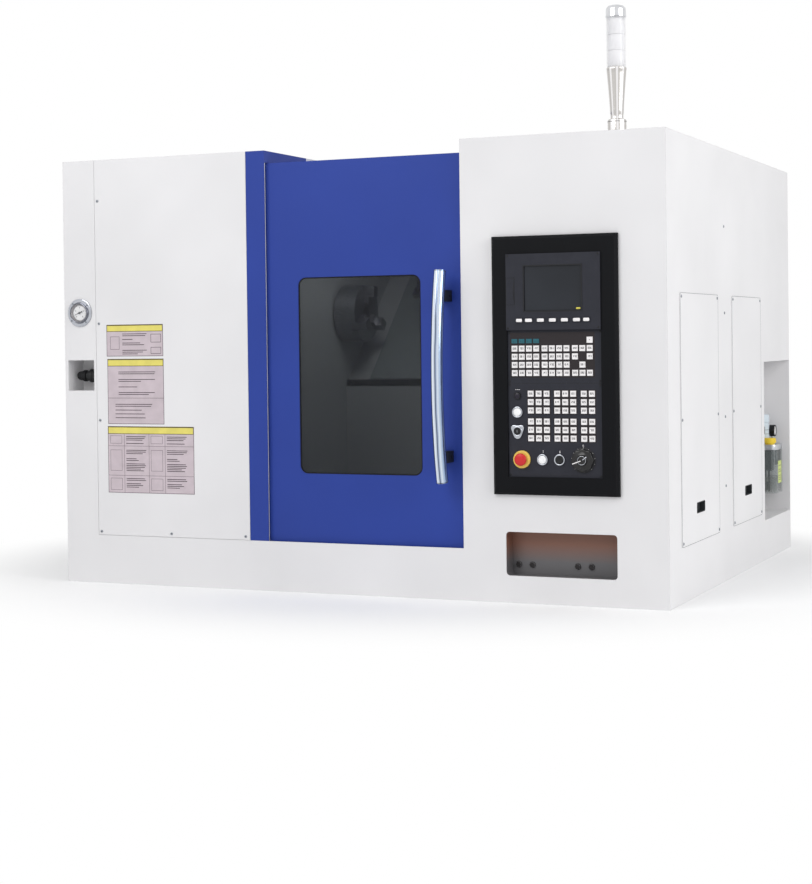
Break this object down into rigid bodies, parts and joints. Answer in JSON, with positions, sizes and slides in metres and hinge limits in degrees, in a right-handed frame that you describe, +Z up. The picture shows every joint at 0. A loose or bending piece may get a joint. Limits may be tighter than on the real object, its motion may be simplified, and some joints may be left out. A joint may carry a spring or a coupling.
{
  "type": "cnc turning lathe",
  "caption": "Enclosed slant-bed turning lathe: sliding door with window, control panel, chuck and turret inside, niche with lubricator.",
  "frame": {"origin": "on the floor under the middle of the whole machine, with the door handle's reach counted", "axes": "+X to the right along the spindle, +Y from the operator towards the rear, +Z up"},
  "size_m": [2.2205, 1.9189, 1.909],
  "materials": {
    "white_paint": "satin",
    "blue_paint": "satin",
    "black_paint": "satin",
    "grey_paint": "satin",
    "panel_plastic": "textured",
    "black_plastic": "matt",
    "red_plastic": "gloss",
    "white_plastic": "gloss",
    "clear_plastic": "clear",
    "dark_glass": "tinted",
    "black_rubber": "matt",
    "bright_steel": "polished",
    "ground_steel": "ground",
    "cast_iron": "painted casting",
    "aluminium": "satin",
    "milky_plastic": "translucent"
  },
  "bodies": {
    "machine": {"base_frame": "black_paint", "levelling_feet": "black_rubber", "bed": "cast_iron", "headstock": "cast_iron", "spindle_bearings": "ground_steel", "spindle_motor": "grey_paint", "drive_belt": "black_rubber", "coolant_tank": "grey_paint", "electrical_cabinet": "grey_paint", "hydraulic_unit": "grey_paint", "chip_pan": "grey_paint", "left_bulkhead": "grey_paint", "right_bulkhead": "grey_paint", "work_roof": "grey_paint", "door_header": "black_paint", "front_skin": "white_paint", "left_cover": "white_paint", "front_post": "blue_paint", "left_housing": "black_paint", "right_housing": "white_paint", "rear_panel": "white_paint", "right_front_cover": "white_paint", "right_rear_cover": "white_paint", "panel_frame": "black_paint", "display_unit": "panel_plastic", "keyboard_unit": "panel_plastic", "operator_unit": "panel_plastic", "gauge_body": "bright_steel", "regulator_body": "aluminium", "pocket_liner": "grey_paint", "stack_light_base": "bright_steel", "stack_light_tube": "clear_plastic", "cover_screws": "bright_steel", "lubricator_tank": "milky_plastic", "lubricator_pump": "aluminium"},
    "door": {"door_panel": "white_paint", "window_gasket": "black_rubber", "door_window": "dark_glass", "door_handle": "bright_steel", "handle_blocks": "black_plastic", "door_runners": "black_plastic"},
    "spindle": {"spindle": "ground_steel", "chuck_body": "ground_steel"},
    "jaw_1": {"chuck_jaw_1": "ground_steel"},
    "jaw_2": {"chuck_jaw_2": "ground_steel"},
    "jaw_3": {"chuck_jaw_3": "ground_steel"},
    "motor_pulley": {"motor_pulley": "aluminium"},
    "saddle": {"saddle": "cast_iron"},
    "long_screw": {"long_screw": "ground_steel"},
    "cross_slide": {"cross_slide": "cast_iron"},
    "cross_screw": {"cross_screw": "ground_steel"},
    "turret": {"turret_disc": "ground_steel"},
    "mode_button": {"mode_button": "white_plastic"},
    "start_button": {"start_button": "white_plastic"},
    "stop_button": {"stop_button": "black_plastic"},
    "key_switch": {"key_switch": "bright_steel"},
    "emergency_stop": {"emergency_stop": "red_plastic"},
    "override_wheel": {"override_wheel": "black_plastic"},
    "gauge_needle": {"gauge_needle": "black_plastic"},
    "regulator_knob": {"regulator_knob": "black_plastic"}
  },
  "joints": [
    {"name": "door_slide", "type": "slide", "parent": "machine", "child": "door", "axis": [-1, 0, 0], "range_m": [0, 0.59]},
    {"name": "spindle_spin", "type": "hinge", "parent": "machine", "child": "spindle", "pos_m": [-0.3, -0.2385, 0.95], "axis": [1, 0, 0], "continuous": true},
    {"name": "jaw_1_slide", "type": "slide", "parent": "spindle", "child": "jaw_1", "axis": [0, 0, 1], "range_m": [-0.004, 0.004]},
    {"name": "jaw_2_slide", "type": "slide", "parent": "spindle", "child": "jaw_2", "axis": [0, -0.866, -0.5], "range_m": [-0.004, 0.004]},
    {"name": "jaw_3_slide", "type": "slide", "parent": "spindle", "child": "jaw_3", "axis": [0, 0.866, -0.5], "range_m": [-0.004, 0.004]},
    {"name": "motor_spin", "type": "hinge", "parent": "machine", "child": "motor_pulley", "pos_m": [-0.8, -0.5285, 0.42], "axis": [1, 0, 0], "continuous": true},
    {"name": "saddle_slide", "type": "slide", "parent": "machine", "child": "saddle", "axis": [1, 0, 0], "range_m": [-0.08, 0.15]},
    {"name": "long_screw_spin", "type": "hinge", "parent": "machine", "child": "long_screw", "pos_m": [0.1, -0.0497, 0.81777], "axis": [1, 0, 0], "range_deg": [-2900, 5420]},
    {"name": "cross_slide_slide", "type": "slide", "parent": "saddle", "child": "cross_slide", "axis": [0, 0.7071, 0.7071], "range_m": [-0.08, 0.08]},
    {"name": "cross_screw_spin", "type": "hinge", "parent": "saddle", "child": "cross_screw", "pos_m": [0.1475, -0.14445, 0.85596], "axis": [0, 0.7071, 0.7071], "range_deg": [-2900, 2900]},
    {"name": "turret_index", "type": "hinge", "parent": "cross_slide", "child": "turret", "pos_m": [0.05, -0.04758, 1.14092], "axis": [1, 0, 0], "continuous": true},
    {"name": "mode_push", "type": "slide", "parent": "machine", "child": "mode_button", "axis": [0, 1, 0], "range_m": [0, 0.003], "stiffness_N_per_m": 800},
    {"name": "start_push", "type": "slide", "parent": "machine", "child": "start_button", "axis": [0, 1, 0], "range_m": [0, 0.003], "stiffness_N_per_m": 800},
    {"name": "stop_push", "type": "slide", "parent": "machine", "child": "stop_button", "axis": [0, 1, 0], "range_m": [0, 0.003], "stiffness_N_per_m": 800},
    {"name": "key_turn", "type": "hinge", "parent": "machine", "child": "key_switch", "pos_m": [0.6175, -0.87, 0.554], "axis": [0, 1, 0], "range_deg": [0, 90]},
    {"name": "emergency_push", "type": "slide", "parent": "machine", "child": "emergency_stop", "axis": [0, 1, 0], "range_m": [0, 0.003]},
    {"name": "override_turn", "type": "hinge", "parent": "machine", "child": "override_wheel", "pos_m": [0.8355, -0.87, 0.464], "axis": [0, 1, 0], "continuous": true},
    {"name": "gauge_turn", "type": "hinge", "parent": "machine", "child": "gauge_needle", "pos_m": [-1.042, -0.8585, 0.96], "axis": [0, 1, 0], "range_deg": [-25, 245]},
    {"name": "regulator_turn", "type": "hinge", "parent": "machine", "child": "regulator_knob", "pos_m": [-1.03, -0.8035, 0.735], "axis": [1, 0, 0], "continuous": true}
  ],
  "couplings": [
    {"joint": "jaw_2_slide", "follows": "jaw_1_slide", "ratio": 1},
    {"joint": "jaw_3_slide", "follows": "jaw_1_slide", "ratio": 1},
    {"joint": "motor_spin", "follows": "spindle_spin", "ratio": 1.5},
    {"joint": "long_screw_spin", "follows": "saddle_slide", "rad_per_m": 628.32},
    {"joint": "cross_screw_spin", "follows": "cross_slide_slide", "rad_per_m": 628.32}
  ]
}
